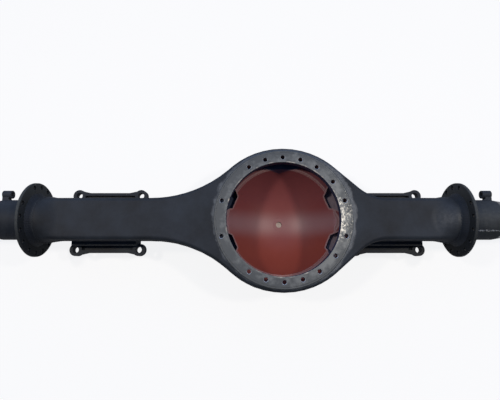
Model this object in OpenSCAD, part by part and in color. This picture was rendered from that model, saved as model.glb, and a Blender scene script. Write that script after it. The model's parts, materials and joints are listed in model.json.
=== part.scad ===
// Banjo drive-axle housing of a heavy vehicle, welded up from pressed plate.
// The origin is the centre of the carrier bore on the ground carrier face.
// +X runs along the axle, +Z points out of the bowl, and +Y is called the front here.

/* [Axle] */
// Distance between the outer faces of the two brake flanges
flange_span = 1466; // [1420:1:1540]
// Distance from each flange face to the middle of its spring seat, as a share of the flange span
seat_share = 0.151; // [0.148:0.0005:0.154]
// Distance from the middle of the axle to the bowl axis, as a share of the flange span
offset_share = 0.084; // [0.078:0.0005:0.088]

/* [Pressed shells] */
// Thickness of the pressed plate
plate = 12; // [9:0.5:13.5]
// Width of the arms across the axle
arm_w = 143; // [135:1:149]
// Depth of the arms along the bowl axis
arm_h = 101; // [96:1:108]
// Outer radius of the pressed corners
corner_r = 14.5; // [14:0.5:22]
// Length of the bowl along the axle
bowl_l = 516; // [510:1:546]
// Width of the bowl across the axle
bowl_w = 490; // [486:1:510]
// Angle between the flares and the axle
flare_angle = 41; // [38:1:44]
// Radius where the left flare runs into its arm
left_fillet = 400; // [320:5:410]
// Radius where the right flare runs into its arm
right_fillet = 140; // [110:5:170]
// Outer diameter of the round necks at the arm ends
neck_d = 160; // [154:1:166]
// Straight round length of each neck
neck_straight = 15; // [12:1:20]
// Gap between a spring seat and the place where its arm begins to turn round
neck_gap = 3; // [1:0.5:8]
// Width of the weld along the seam between the shells
seam_w = 14; // [8:1:18]
// Height of the seam weld above the plate
seam_h = 2.5; // [1:0.5:4]

/* [Carrier ring] */
// Distance from the bore that the carrier pilots in to the side of the bowl
bowl_margin = 52; // [50:0.5:57]
// Radial width of the ring
ring_w = 34; // [32:1:37]
// Thickness of the ring
ring_t = 30; // [22:1:36]
// Height of the ground face above the shell
ring_proud = 2; // [1:0.5:4]
// Distance from the bore to the bolt circle
bolt_inset = 17.5; // [15:0.5:20]
// Distance from the bore to the circle of the four side bolts
side_inset = 23; // [20:0.5:24]
// Tapping diameter of the bolt holes
bolt_d = 14; // [10:0.5:16]
// Angle between neighbouring bolts at the front and the rear
bolt_step = 16.7; // [15:0.1:18]
// Angle from the front to the lone bolts on the right
lone_angle = 53.7; // [50:0.1:58]
// Angle from the front to the side bolts
side_angle = 73.9; // [70:0.1:78]
// Edge break of the bolt holes
ring_chamfer = 1.5; // [0.5:0.5:3]
// Width of the weld round the ring
ring_weld_w = 7; // [4:1:10]
// Depth of the ground weld below the ring's face
weld_step = 0.4; // [0.2:0.1:0.8]

/* [Bowl dish] */
// Distance from the inner face of the dish to the side of the bowl
dish_margin = 43; // [40:0.5:47]
// Distance from the axle axis to the bottom of the dish
dish_reach = 172; // [166:1:178]
// Thickness of the dish
dish_t = 9; // [8:0.5:12]
// Width of the rim that stands in the shell's opening
rim_w = 6; // [5:0.5:7]
// Radius of the spouts that lead into the arms
spout_r = 40; // [34:1:44]
// Slope of the spouts
spout_slope = 46; // [44:1:50]
// Distance that the spouts reach past the rim of the dish
spout_reach = 6; // [4:0.5:10]
// Width of the weld round the dish
dish_weld_w = 11; // [8:1:13]

/* [Drain] */
// Outer diameter of the drain bung
bung_d = 48; // [40:1:56]
// Diameter of the drain hole
drain_d = 22; // [16:1:26]
// Height of the bung below the dish
bung_drop = 8; // [5:1:14]

/* [Relief notches] */
// Angle from the axle to the middle of each notch
notch_angle = 23; // [22:0.5:26]
// Width of a notch at its inner end
notch_w_in = 48; // [40:1:54]
// Width of a notch at its outer end
notch_w_out = 98; // [88:1:100]
// Length over which a notch widens
notch_run = 24; // [18:1:28]
// Length of a notch past the rim of the dish
notch_l = 34; // [28:1:36]
// Distance that a notch bites into the rim of the dish
notch_bite = 8.5; // [6:0.5:10]
// Depth of the gusset pans that close the notches
gusset_h = 38; // [36:1:44]
// Thickness of the floor of a gusset pan
gusset_t = 8; // [6:0.5:9]
// Thickness of the wall of a gusset pan
gusset_lap = 9; // [6:1:11]

/* [Brake flanges] */
// Diameter of the flanges
flange_d = 255; // [247:1:270]
// Thickness of the flanges
flange_t = 10; // [9:0.5:14]
// Distance from the bolt circle to the rim of a flange
flange_margin = 14.5; // [12:0.5:18]
// Diameter of the flange bolt holes
flange_hole_d = 15; // [12:0.5:18]
// Divisions of the flange bolt circle
flange_divisions = 16; // [12:2:18]
// Edge break of the flange rims
flange_chamfer = 1.5; // [0.5:0.5:3]
// Size of the weld between neck and flange
neck_weld_w = 12; // [10:1:16]

/* [Spindles] */
// Length of the spindle base that stands inside the flange face
base_l = 8; // [6:1:9]
// Diameter of the collar beside the flange
collar_d = 138; // [133:1:143]
// Distance from the flange face to the end of the collar
collar_l = 107; // [100:1:115]
// Length of the taper beyond the collar
shoulder_l = 36; // [28:1:44]
// Diameter of the seal journal
seal_d = 120; // [114:1:124]
// Length of the seal journal
seal_l = 30; // [20:1:40]
// Diameter of the inner bearing journal
inner_bearing_d = 92; // [90:0.1:100]
// Length of the inner bearing journal
inner_bearing_l = 56; // [45:1:65]
// Length of the taper between the bearing journals
taper_l = 70; // [50:1:90]
// Diameter of the outer bearing journal
outer_bearing_d = 82.6; // [80:0.1:88]
// Length of the outer bearing journal
outer_bearing_l = 44; // [35:1:55]
// Diameter of the thread for the bearing nuts
thread_d = 80; // [74:0.5:82]
// Length of the thread
thread_l = 34; // [25:1:45]
// Diameter of the bore for the axle shaft
shaft_bore_d = 60; // [50:1:64]
// Edge break and shoulder radius of the spindles
spindle_edge = 3; // [2:0.5:4]

/* [Spring seats] */
// Spacing of the bolt holes along the axle, as a share of the flange span
hole_share = 0.157; // [0.15:0.0005:0.158]
// Spacing of the bolt holes across the axle
seat_hole_y = 200; // [196:1:212]
// Diameter of the bolt holes
seat_hole_d = 23; // [20:0.5:26]
// Diameter of the ears round the holes
ear_d = 45; // [42:1:52]
// Thickness of the ears
ear_t = 27; // [22:1:32]
// Depth of the ears' upper faces below the arm
ear_drop = 37; // [32:1:42]
// Width of the pedestal that carries the arm
pedestal_w = 172; // [164:1:176]
// Length of the flare from an ear into its bar
ear_flare = 42; // [34:1:50]
// Width of the cored pocket in each side of a pedestal
pocket_w = 42; // [30:1:60]
// Height of the pockets
pocket_h = 24; // [16:1:30]
// Depth of the pockets
pocket_d = 14; // [8:1:20]
// Width of the bars that join the ears
bar_w = 10; // [8:1:12]
// Distance from the holes to the outer edge of the bars
bar_reach = 11; // [9:1:14]
// Thickness of the web between pedestal and bars
web_t = 10; // [8:1:14]
// Diameter of the hole for the spring's centre bolt
dowel_d = 32; // [24:1:40]

/* [Sensor holders] */
// Outer diameter of the holder tube
sensor_od = 28; // [25:1:30]
// Diameter of the sensor bore
sensor_bore = 16; // [14:0.5:18]
// Length of the holder tube
sensor_l = 30; // [26:1:36]
// Distance from the axle axis to the tube axis
sensor_reach = 89; // [88:1:94]
// Distance from the flange face to the inner end of the tube
sensor_start = 89; // [84:1:93]
// Length of the foot along the axle
foot_l = 21; // [18:1:24]
// Width of the foot across the tube
foot_w = 20; // [16:1:22]

/* [Hidden] */

$fn = 96;
// Length of cuts that have to run clear through a piece
through = 400;
black_paint = "#2b2e32";
red_primer = "#7a352c";
ground_steel = "#7c7f80";

// Levels along the bowl axis
axle_z = -(arm_h / 2 + ring_proud);
underside_z = axle_z - arm_h / 2;
floor_z = underside_z + plate;

// Radii about the bowl axis, and the centre of the dish
pilot_d = bowl_w - 2 * bowl_margin;
bolt_circle = pilot_d + 2 * bolt_inset;
side_circle = pilot_d + 2 * side_inset;
dish_r = bowl_w / 2 - dish_margin;
ring_r = pilot_d / 2 + ring_w;
dish_z = axle_z - dish_reach + dish_r;
rim_in = sqrt(pow(dish_r, 2) - pow(dish_z - floor_z, 2));
rim_out = rim_in + rim_w;

// Places along the axle
bowl_offset = flange_span * offset_share;
seat_inset = flange_span * seat_share;
seat_hole_x = flange_span * hole_share;
left_x = -flange_span / 2 - bowl_offset;
right_x = flange_span / 2 - bowl_offset;
left_end = left_x + flange_t + base_l;
right_end = right_x - flange_t - base_l;
left_seat_x = left_x + seat_inset;
right_seat_x = right_x - seat_inset;
neck_blend = seat_inset - seat_hole_x / 2 - neck_gap - neck_straight - flange_t - base_l;

// Plan of the bowl: an ellipse, straight flares that touch it, and fillets into the arms
flare_rise = tan(flare_angle);
flare_height = norm([bowl_l / 2 * flare_rise, bowl_w / 2]);
flare_start = pow(bowl_l / 2, 2) * flare_rise / flare_height;
flare_meet = (flare_height - arm_w / 2) / flare_rise;

function fillet_start(r) = flare_meet - r * tan(flare_angle / 2) * cos(flare_angle);
function fillet_end(r) = flare_meet + r * tan(flare_angle / 2);

function half_width(x) =
  let (u = abs(x), r = x < 0 ? left_fillet : right_fillet)
  u <= flare_start ? bowl_w / 2 * sqrt(1 - pow(u / (bowl_l / 2), 2))
  : u <= fillet_start(r) ? flare_height - u * flare_rise
  : u <= fillet_end(r) ? arm_w / 2 + r - sqrt(r * r - pow(fillet_end(r) - u, 2))
  : arm_w / 2;

// Growth of the wall across the axle where the plan runs at an angle
slope_step = 0.5;
function wall_growth(x) =
  norm([1, (half_width(x + slope_step) - half_width(x - slope_step)) / (2 * slope_step)]);

// Share of the round neck in the section: 0 in the arm, 1 in the neck
function neck_share(x) =
  let (d = min(x - left_end, right_end - x) - neck_straight, t = max(0, min(1, 1 - d / neck_blend)))
  t * t * (3 - 2 * t);

// Sections along the axle where the shells are drawn
neck_steps = 9;
left_flare_steps = 9;
right_flare_steps = 7;
bowl_steps = 16;
stations = concat(
  [left_end],
  [for (i = [0:neck_steps]) left_end + neck_straight + neck_blend * i / neck_steps],
  [for (i = [0:left_flare_steps])
    let (a = fillet_end(left_fillet), b = fillet_start(left_fillet))
    -a + (a - b) * i / left_flare_steps],
  [for (i = [0:bowl_steps]) -flare_start * cos(180 * i / bowl_steps)],
  [for (i = [0:right_flare_steps])
    let (a = fillet_start(right_fillet), b = fillet_end(right_fillet))
    a + (b - a) * i / right_flare_steps],
  [for (i = [neck_steps:-1:0]) right_end - neck_straight - neck_blend * i / neck_steps],
  [right_end]
);

function reversed(list) = [for (i = [len(list) - 1:-1:0]) list[i]];

// Upper half of one section, from the front seam over the top to the rear seam.
// The inset is 0 for the outer face and the plate thickness for the inner face.
side_steps = 2;
corner_steps = 4;
flat_steps = 6;
// Angles on the round neck between which a corner of the arm runs out
corner_from = 28;
corner_to = 42;
function half_section(x, inset) =
  let (
    s = neck_share(x),
    w = half_width(x) - inset * wall_growth(x),
    h = arm_h / 2 - inset,
    r = corner_r - inset,
    neck_r = neck_d / 2 - inset,
    quarter = concat(
      [for (i = [0:side_steps - 1]) [w, (h - r) * i / side_steps]],
      [for (i = [0:corner_steps])
        let (a = 90 * i / corner_steps) [w - r + r * cos(a), h - r + r * sin(a)]]
    ),
    flat = [for (i = [1:flat_steps - 1]) [(w - r) * (1 - 2 * i / flat_steps), h]],
    box = concat(quarter, flat, [for (p = reversed(quarter)) [-p[0], p[1]]]),
    quarter_turns = concat(
      [for (i = [0:side_steps - 1]) corner_from * i / side_steps],
      [for (i = [0:corner_steps]) corner_from + (corner_to - corner_from) * i / corner_steps]
    ),
    flat_turns = [for (i = [1:flat_steps - 1]) corner_to + (180 - 2 * corner_to) * i / flat_steps],
    angles = concat(quarter_turns, flat_turns, [for (a = reversed(quarter_turns)) 180 - a])
  )
  [for (i = [0:len(box) - 1]) (1 - s) * box[i] + s * neck_r * [cos(angles[i]), sin(angles[i])]];

// Skin through closed sections that all have the same number of points
module loft(sections) {
  rows = len(sections);
  n = len(sections[0]);
  points = [for (section = sections) for (p = section) p];
  sides = [
    for (j = [0:rows - 2])
      for (i = [0:n - 1])
        let (a = j * n + i, b = j * n + (i + 1) % n)
        each [[a, a + n, b + n], [a, b + n, b]]
  ];
  // Each end is a strip between the two halves of its section
  half = n / 2;
  ends = [
    for (i = [0:half - 2])
      let (a = i, b = i + 1, c = n - 2 - i, d = n - 1 - i, last = (rows - 1) * n)
      each [[a, b, c], [a, c, d], [last + a, last + c, last + b], [last + a, last + d, last + c]]
  ];
  polyhedron(points = points, faces = concat(sides, ends));
}

// One pressed half of the housing, drawn with its seam on the axle axis
module pressed_half() {
  translate([0, 0, axle_z])
    loft([
      for (x = stations)
        [for (p = concat(half_section(x, 0), reversed(half_section(x, plate)))) [x, p[0], p[1]]]
    ]);
}

// Weld bead along the seam at the front
module seam_bead() {
  crown_w = seam_w / 4;
  shoulder_w = seam_w * 2 / 3;
  shoulder_h = seam_h * 2 / 3;
  run = [for (x = stations) if (x > left_end + neck_weld_w && x < right_end - neck_weld_w) x];
  translate([0, 0, axle_z])
    loft([
      for (x = run)
        let (y = half_section(x, 0)[0][0])
        [
          [x, y, -seam_w / 2], [x, y + shoulder_h, -shoulder_w / 2], [x, y + seam_h, -crown_w / 2],
          [x, y + seam_h, crown_w / 2], [x, y + shoulder_h, shoulder_w / 2], [x, y, seam_w / 2],
        ]
    ]);
}

// Sloping round bars of the spouts, one to each arm
module spout_bars(r) {
  bar_out = 2 * spout_r;
  bar_in = dish_r / 2;
  for (side = [-1, 1])
    scale([side, 1, 1])
      translate([rim_in + spout_reach, 0, floor_z])
        rotate([0, 90 - spout_slope, 0])
          translate([-spout_r, 0, -bar_in])
            cylinder(r = r, h = bar_in + bar_out);
}

// Puts something at one of the four corners between the arms and the bowl
module at_corner(x_side, y_side) {
  scale([x_side, y_side, 1])
    rotate(notch_angle)
      children();
}

// Plan of a notch, widened on all sides by a lap
notch_corner = 4;
module notch_plan(lap) {
  inner = notch_w_in / 2 + lap / 2;
  outer = notch_w_out / 2 + lap;
  start = rim_in - notch_bite - lap;
  end = rim_out + notch_l + lap;
  polygon([
    [start, -inner], [start + notch_run, -outer], [end - notch_l / 2, -outer],
    [end, -outer + lap + notch_corner], [end, outer - lap - notch_corner],
    [end - notch_l / 2, outer], [start + notch_run, outer], [start, inner],
  ]);
}

// Inside of the four notches, down to the floors of the gusset pans
pan_floor_z = underside_z - gusset_h + gusset_t;
module notches() {
  for (x_side = [-1, 1], y_side = [-1, 1])
    at_corner(x_side, y_side)
      translate([0, 0, pan_floor_z])
        linear_extrude(floor_z + plate - pan_floor_z)
          notch_plan(0);
}

module upper_shell() {
  color(black_paint)
    difference() {
      pressed_half();
      translate([0, 0, axle_z])
        cylinder(r = ring_r, h = through);
    }
}

module lower_shell() {
  color(black_paint)
    difference() {
      translate([0, 0, 2 * axle_z])
        mirror([0, 0, 1])
          pressed_half();
      translate([0, 0, axle_z - through])
        cylinder(r = rim_out, h = through);
      spout_bars(spout_r + dish_t);
      notches();
    }
}

module front_seam_weld() {
  color(black_paint)
    seam_bead();
}

module rear_seam_weld() {
  color(black_paint)
    mirror([0, 1, 0])
      seam_bead();
}

// Angles of the ring's bolts from the front; the left side has fewer than the right
right_bolts = [0, bolt_step, 2 * bolt_step, lone_angle];
left_bolts = [bolt_step, 2 * bolt_step];
bolt_angles = concat(
  right_bolts,
  [for (a = right_bolts) 180 - a],
  [for (a = left_bolts) -a],
  [for (a = left_bolts) 180 + a]
);
side_angles = [side_angle, 180 - side_angle, 180 + side_angle, -side_angle];

// One tapped hole of the ring; its countersink cone runs as far above the face as below it
module bolt_hole(angle, circle) {
  sink_h = 2 * ring_chamfer;
  rotate(-angle)
    translate([0, circle / 2, 0]) {
      translate([0, 0, -through / 2])
        cylinder(d = bolt_d, h = through);
      translate([0, 0, -ring_chamfer])
        cylinder(d1 = bolt_d, d2 = bolt_d + 2 * sink_h, h = sink_h);
    }
}

module carrier_ring() {
  inner = pilot_d / 2;
  color(ground_steel)
    difference() {
      rotate_extrude()
        polygon([
          [inner, -ring_t], [ring_r, -ring_t], [ring_r, 0], [inner, 0],
        ]);
      for (a = bolt_angles)
        bolt_hole(a, bolt_circle);
      for (a = side_angles)
        bolt_hole(a, side_circle);
    }
}

module ring_weld() {
  color(black_paint)
    rotate_extrude()
      polygon([
        [ring_r, -ring_proud], [ring_r + ring_weld_w, -ring_proud],
        [ring_r + ring_weld_w - ring_proud, -weld_step], [ring_r, -weld_step],
      ]);
}

module bowl_dish() {
  color(red_primer)
    difference() {
      intersection() {
        union() {
          intersection() {
            translate([0, 0, dish_z])
              sphere(dish_r + dish_t);
            translate([0, 0, axle_z - through])
              cylinder(r = rim_out, h = through);
          }
          spout_bars(spout_r + dish_t);
        }
        translate([-through, -through, floor_z - through])
          cube([2 * through, 2 * through, through]);
      }
      translate([0, 0, dish_z])
        sphere(dish_r);
      spout_bars(spout_r);
      notches();
      translate([0, 0, axle_z - through])
        cylinder(d = bung_d, h = through);
    }
}

module dish_weld() {
  color(black_paint)
    difference() {
      rotate_extrude()
        difference() {
          polygon([
            [rim_in - dish_t, underside_z], [rim_out + dish_weld_w, underside_z],
            [rim_in - dish_t, underside_z - dish_weld_w - dish_t],
          ]);
          translate([0, dish_z])
            circle(dish_r + dish_t, $fn = 720);
        }
      spout_bars(spout_r + dish_t);
      for (x_side = [-1, 1], y_side = [-1, 1])
        at_corner(x_side, y_side)
          translate([0, 0, underside_z - gusset_h])
            linear_extrude(gusset_h + plate)
              notch_plan(gusset_lap);
    }
}

module drain_bung() {
  inner_z = dish_z - sqrt(pow(dish_r, 2) - pow(bung_d / 2, 2));
  outer_z = dish_z - dish_r - dish_t - bung_drop;
  color(black_paint)
    difference() {
      translate([0, 0, outer_z])
        cylinder(d = bung_d, h = inner_z - outer_z);
      translate([0, 0, axle_z - through])
        cylinder(d = drain_d, h = through);
    }
}

// Pressed pan that closes a notch from below, fitted to the outside of the dish
module gusset(x_side, y_side) {
  color(black_paint)
    difference() {
      at_corner(x_side, y_side)
        translate([0, 0, underside_z - gusset_h])
          linear_extrude(gusset_h)
            notch_plan(gusset_lap);
      notches();
      translate([0, 0, dish_z])
        sphere(dish_r + dish_t);
      spout_bars(spout_r + dish_t);
    }
}

module front_left_gusset() {
  gusset(-1, 1);
}

module front_right_gusset() {
  gusset(1, 1);
}

module rear_left_gusset() {
  gusset(-1, -1);
}

module rear_right_gusset() {
  gusset(1, -1);
}

// Puts something drawn along +Z at a flange face, pointing out along the axle
module at_flange(side) {
  translate([side > 0 ? right_x : left_x, 0, axle_z])
    rotate([0, side * 90, 0])
      children();
}

// Half profile of a spindle, as radius and distance out from the flange face
shoulder_end = collar_l + shoulder_l;
seal_end = shoulder_end + seal_l;
inner_bearing_end = seal_end + inner_bearing_l;
taper_end = inner_bearing_end + taper_l;
outer_bearing_end = taper_end + outer_bearing_l;
spindle_end = outer_bearing_end + thread_l;

module spindle(side) {
  e = spindle_edge;
  base_r = neck_d / 2;
  collar_r = collar_d / 2;
  seal_r = seal_d / 2;
  inner_r = inner_bearing_d / 2;
  outer_r = outer_bearing_d / 2;
  thread_r = thread_d / 2;
  color(black_paint)
    at_flange(side)
      rotate_extrude()
        polygon([
          [shaft_bore_d / 2, -flange_t - base_l], [base_r, -flange_t - base_l], [base_r, 0],
          [collar_r, 2 * e],
          [collar_r, collar_l], [seal_r + e, shoulder_end], [seal_r, shoulder_end],
          [seal_r, seal_end - e], [seal_r - e, seal_end],
          [inner_r + e, seal_end], [inner_r, seal_end + e], [inner_r, inner_bearing_end],
          [outer_r + e, taper_end - e], [outer_r, taper_end], [outer_r, outer_bearing_end - e],
          [thread_r - e, outer_bearing_end], [thread_r, outer_bearing_end + e],
          [thread_r, spindle_end - e], [thread_r - e, spindle_end],
          [shaft_bore_d / 2, spindle_end],
        ]);
}

module left_spindle() {
  spindle(-1);
}

module right_spindle() {
  spindle(1);
}

// Places are counted from the front over the near side; this one is left undrilled
missing_place = 2;

module brake_flange(side) {
  rim_r = flange_d / 2;
  c = flange_chamfer;
  step = 360 / flange_divisions;
  circle_r = rim_r - flange_margin;
  color(black_paint)
    difference() {
      translate([0, 0, axle_z])
        rotate([0, 90, 0])
          translate([0, 0, side > 0 ? right_x - flange_t : left_x])
            rotate_extrude()
              polygon([
                [neck_d / 2, 0], [rim_r - c, 0], [rim_r, c], [rim_r, flange_t - c],
                [rim_r - c, flange_t], [neck_d / 2, flange_t],
              ]);
      for (i = [0:flange_divisions - 1])
        if (i != missing_place)
          translate([side > 0 ? right_x : left_x, 0, axle_z])
            rotate([i * step, 0, 0])
              translate([-through / 2, circle_r, 0])
                rotate([0, 90, 0])
                  cylinder(d = flange_hole_d, h = through);
    }
}

module left_brake_flange() {
  brake_flange(-1);
}

module right_brake_flange() {
  brake_flange(1);
}

module neck_weld(side) {
  root_r = neck_d / 2;
  // The weld face sinks in the middle, a third of its size out from the neck
  sink = neck_weld_w / 3;
  color(black_paint)
    at_flange(side)
      rotate_extrude()
        polygon([
          [root_r, -flange_t], [root_r + neck_weld_w, -flange_t],
          [root_r + sink, -flange_t - neck_weld_w + sink], [root_r, -flange_t - base_l - neck_weld_w],
        ]);
}

module left_neck_weld() {
  neck_weld(-1);
}

module right_neck_weld() {
  neck_weld(1);
}

module spring_seat(x) {
  top_z = underside_z;
  bottom_z = top_z - ear_drop - ear_t;
  half_l = seat_hole_x / 2;
  half_w = seat_hole_y / 2 + bar_reach;
  ear_r = ear_d / 2;
  // Direction in which the flare leaves the ear
  flare_turn = 50;
  color(black_paint)
    translate([x, 0, 0])
      difference() {
        union() {
          // Pedestal under the arm
          translate([-half_l, -pedestal_w / 2, bottom_z])
            cube([2 * half_l, pedestal_w, top_z - bottom_z]);
          // Web between pedestal and bars
          translate([-half_l, -half_w, bottom_z])
            cube([2 * half_l, 2 * half_w, web_t]);
          // Bars, and ears that flare into them
          for (y_side = [-1, 1]) {
            translate([-half_l, y_side > 0 ? half_w - bar_w : -half_w, bottom_z])
              cube([2 * half_l, bar_w, ear_t]);
            for (x_side = [-1, 1])
              translate([x_side * half_l, y_side * seat_hole_y / 2, bottom_z]) {
                cylinder(d = ear_d, h = ear_t);
                scale([-x_side, y_side, 1])
                  linear_extrude(ear_t)
                    polygon([
                      [0, 0], [ear_flare, bar_reach - bar_w], [ear_flare, bar_reach],
                      [ear_r * cos(flare_turn), ear_r * sin(flare_turn)],
                    ]);
              }
          }
        }
        for (x_side = [-1, 1], y_side = [-1, 1])
          translate([x_side * half_l, y_side * seat_hole_y / 2, top_z - through / 2])
            cylinder(d = seat_hole_d, h = through);
        // Cored pockets in the sides of the pedestal
        for (y_side = [-1, 1])
          translate([-pocket_w / 2, y_side > 0 ? pedestal_w / 2 - pocket_d : -pedestal_w / 2, bottom_z + web_t])
            cube([pocket_w, pocket_d, pocket_h]);
        translate([0, 0, bottom_z - web_t])
          cylinder(d = dowel_d, h = 2 * web_t);
      }
}

module left_spring_seat() {
  spring_seat(left_seat_x);
}

module right_spring_seat() {
  spring_seat(right_seat_x);
}

module sensor_holder(side) {
  // Flared root of the foot: its length, and its heights at its toe and at the foot
  root_l = 5;
  toe_h = 1;
  root_h = 4;
  collar_r = collar_d / 2;
  // The foot is cut to the collar and to the taper beyond it
  color(black_paint)
    translate([side > 0 ? right_x : left_x, 0, axle_z])
      scale([side, 1, 1])
        difference() {
          union() {
            translate([sensor_start, sensor_reach, 0])
              rotate([0, 90, 0])
                cylinder(d = sensor_od, h = sensor_l);
            translate([sensor_start + sensor_l, 0, -foot_w / 2])
              linear_extrude(foot_w)
                polygon([
                  [-foot_l - root_l, 0], [-foot_l - root_l, collar_r + toe_h],
                  [-foot_l, collar_r + root_h], [-foot_l, sensor_reach], [0, sensor_reach], [0, 0],
                ]);
          }
          rotate([0, 90, 0]) {
            cylinder(r = collar_r, h = collar_l);
            translate([0, 0, collar_l])
              cylinder(r1 = collar_r, r2 = seal_d / 2 + spindle_edge, h = shoulder_l);
          }
          translate([0, sensor_reach, 0])
            rotate([0, 90, 0])
              cylinder(d = sensor_bore, h = through);
        }
}

module left_sensor_holder() {
  sensor_holder(-1);
}

module right_sensor_holder() {
  sensor_holder(1);
}

upper_shell();
lower_shell();
front_seam_weld();
rear_seam_weld();
carrier_ring();
ring_weld();
bowl_dish();
dish_weld();
drain_bung();
front_left_gusset();
front_right_gusset();
rear_left_gusset();
rear_right_gusset();
left_spindle();
right_spindle();
left_brake_flange();
right_brake_flange();
left_neck_weld();
right_neck_weld();
left_spring_seat();
right_spring_seat();
left_sensor_holder();
right_sensor_holder();
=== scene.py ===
import json
import math

import bpy
import numpy as np
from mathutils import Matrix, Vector


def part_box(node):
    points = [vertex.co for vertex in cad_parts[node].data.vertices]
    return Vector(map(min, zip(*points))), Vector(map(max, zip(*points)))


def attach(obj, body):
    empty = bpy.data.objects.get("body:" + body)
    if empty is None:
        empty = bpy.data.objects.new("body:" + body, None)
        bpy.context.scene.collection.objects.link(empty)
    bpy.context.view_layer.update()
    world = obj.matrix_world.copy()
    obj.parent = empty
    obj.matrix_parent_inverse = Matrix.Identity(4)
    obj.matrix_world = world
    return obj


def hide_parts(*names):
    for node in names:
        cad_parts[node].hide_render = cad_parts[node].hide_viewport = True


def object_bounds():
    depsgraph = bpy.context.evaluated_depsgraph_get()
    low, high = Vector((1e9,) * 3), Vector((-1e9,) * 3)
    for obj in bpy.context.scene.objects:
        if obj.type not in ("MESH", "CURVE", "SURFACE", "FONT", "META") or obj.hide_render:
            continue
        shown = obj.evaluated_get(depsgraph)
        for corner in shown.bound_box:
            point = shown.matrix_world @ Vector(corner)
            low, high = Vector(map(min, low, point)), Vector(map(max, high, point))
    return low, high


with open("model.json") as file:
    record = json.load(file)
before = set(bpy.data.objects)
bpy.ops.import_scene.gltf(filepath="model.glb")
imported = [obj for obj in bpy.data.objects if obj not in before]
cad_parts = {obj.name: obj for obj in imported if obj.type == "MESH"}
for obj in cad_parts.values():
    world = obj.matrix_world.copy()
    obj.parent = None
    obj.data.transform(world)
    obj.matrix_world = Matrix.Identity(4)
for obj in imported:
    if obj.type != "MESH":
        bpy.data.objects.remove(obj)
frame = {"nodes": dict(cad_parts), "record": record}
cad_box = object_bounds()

# Pressed shells
# Two halves of hot-pressed steel plate, twelve millimetres thick, that meet on the axle axis.
# Sprayed satin black after welding and sanded bare round the carrier ring; inside, the walls are a
# dark blue black and the floor keeps its red oxide primer.


def linear(hex_colour):
    """sRGB hex to the linear colour that a shader socket takes."""
    parts = [int(hex_colour[i:i + 2], 16) / 255 for i in (1, 3, 5)]
    return [c / 12.92 if c <= 0.04045 else ((c + 0.055) / 1.055) ** 2.4 for c in parts] + [1.0]


def add(tree, kind, sockets=None, **settings):
    """Adds one node with its settings, and fills or links its input sockets."""
    made = tree.nodes.new(kind)
    for name, value in settings.items():
        setattr(made, name, value)
    for name, value in (sockets or {}).items():
        if isinstance(value, bpy.types.NodeSocket):
            tree.links.new(value, made.inputs[name])
        else:
            made.inputs[name].default_value = value
    return made


def new_material(name):
    """An empty node material with its output."""
    material = bpy.data.materials.new(name)
    material.use_nodes = True
    tree = material.node_tree
    tree.nodes.clear()
    return material, tree, add(tree, "ShaderNodeOutputMaterial")


def per_metre(size_mm):
    """Noise scale, in cells per metre, of a pattern with that cell size in millimetres."""
    return 1000.0 / size_mm


def worn_edges(tree, radius_mm, most):
    """Normal rounded over by that radius, and a mask of the edges that it rounds, at most that strong."""
    first_turn, full_turn = 0.998, 0.90  # cosines of the turns at which wear starts and is full
    soft = add(tree, "ShaderNodeBevel", {"Radius": radius_mm / 1000}, samples=6)
    face = add(tree, "ShaderNodeNewGeometry")
    turn = add(tree, "ShaderNodeVectorMath", {
        0: soft.outputs["Normal"], 1: face.outputs["Normal"]}, operation="DOT_PRODUCT")
    edge = add(tree, "ShaderNodeMapRange", {
        "Value": turn.outputs["Value"], "From Min": first_turn, "From Max": full_turn,
        "To Min": 0.0, "To Max": most})
    return soft.outputs["Normal"], edge.outputs["Result"]


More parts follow.
